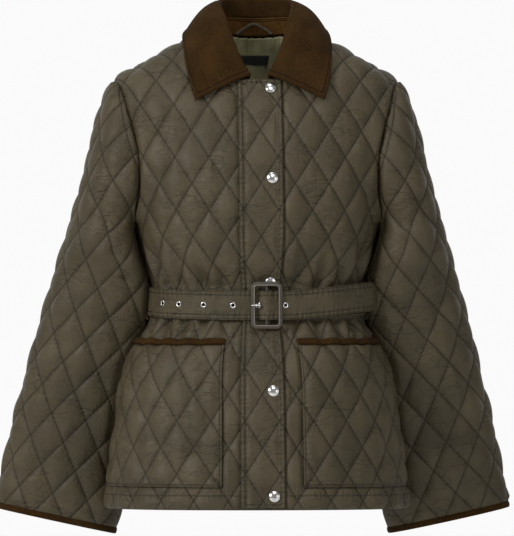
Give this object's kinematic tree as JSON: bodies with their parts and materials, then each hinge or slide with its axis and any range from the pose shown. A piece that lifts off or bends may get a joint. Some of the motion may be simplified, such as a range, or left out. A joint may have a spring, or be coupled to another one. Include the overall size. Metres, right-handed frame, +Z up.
{
  "type": "quilted jacket",
  "caption": "Hip-length quilted jacket with a cord collar, snap placket, patch pockets, bound cuffs and a buckled waist belt, hollow as it is worn.",
  "frame": {"origin": "between the shoulders at the height of the neck's base, where the wearer holds the jacket up", "axes": "+Z up, +X to the wearer's left, -Y out of the front"},
  "size_m": [0.7146, 0.307, 0.7404],
  "materials": {
    "shell_cloth": "dark olive-grey polyester with a slight sheen, quilted in diamonds",
    "belt_cloth": "dark olive-grey polyester, stitched along both edges",
    "cord_cloth": "dark brown fine corduroy",
    "lining_satin": "olive satin lining",
    "label_cloth": "black woven label, bare",
    "buckle_plastic": "brown-grey covered buckle",
    "polished_metal": "polished nickel"
  },
  "bodies": {
    "root": {"front_left": "shell_cloth", "front_right": "shell_cloth", "back": "shell_cloth", "sleeve_left": "shell_cloth", "sleeve_right": "shell_cloth", "placket": "shell_cloth", "pocket_left": "shell_cloth", "pocket_right": "shell_cloth", "pocket_band_left": "cord_cloth", "pocket_band_right": "cord_cloth", "cuff_band_left": "cord_cloth", "cuff_band_right": "cord_cloth", "collar_stand": "cord_cloth", "collar_fall": "cord_cloth", "neck_lining": "lining_satin", "label": "label_cloth", "hang_loop": "shell_cloth", "belt": "belt_cloth", "belt_loop_left": "belt_cloth", "belt_loop_right": "belt_cloth", "buckle": "buckle_plastic", "buckle_prong": "polished_metal", "eyelet_1": "polished_metal", "eyelet_2": "polished_metal", "eyelet_3": "polished_metal", "eyelet_4": "polished_metal", "eyelet_5": "polished_metal", "eyelet_6": "polished_metal", "snap_1": "polished_metal", "snap_2": "polished_metal", "snap_3": "polished_metal", "snap_4": "polished_metal", "snap_5": "polished_metal"}
  },
  "joints": []
}
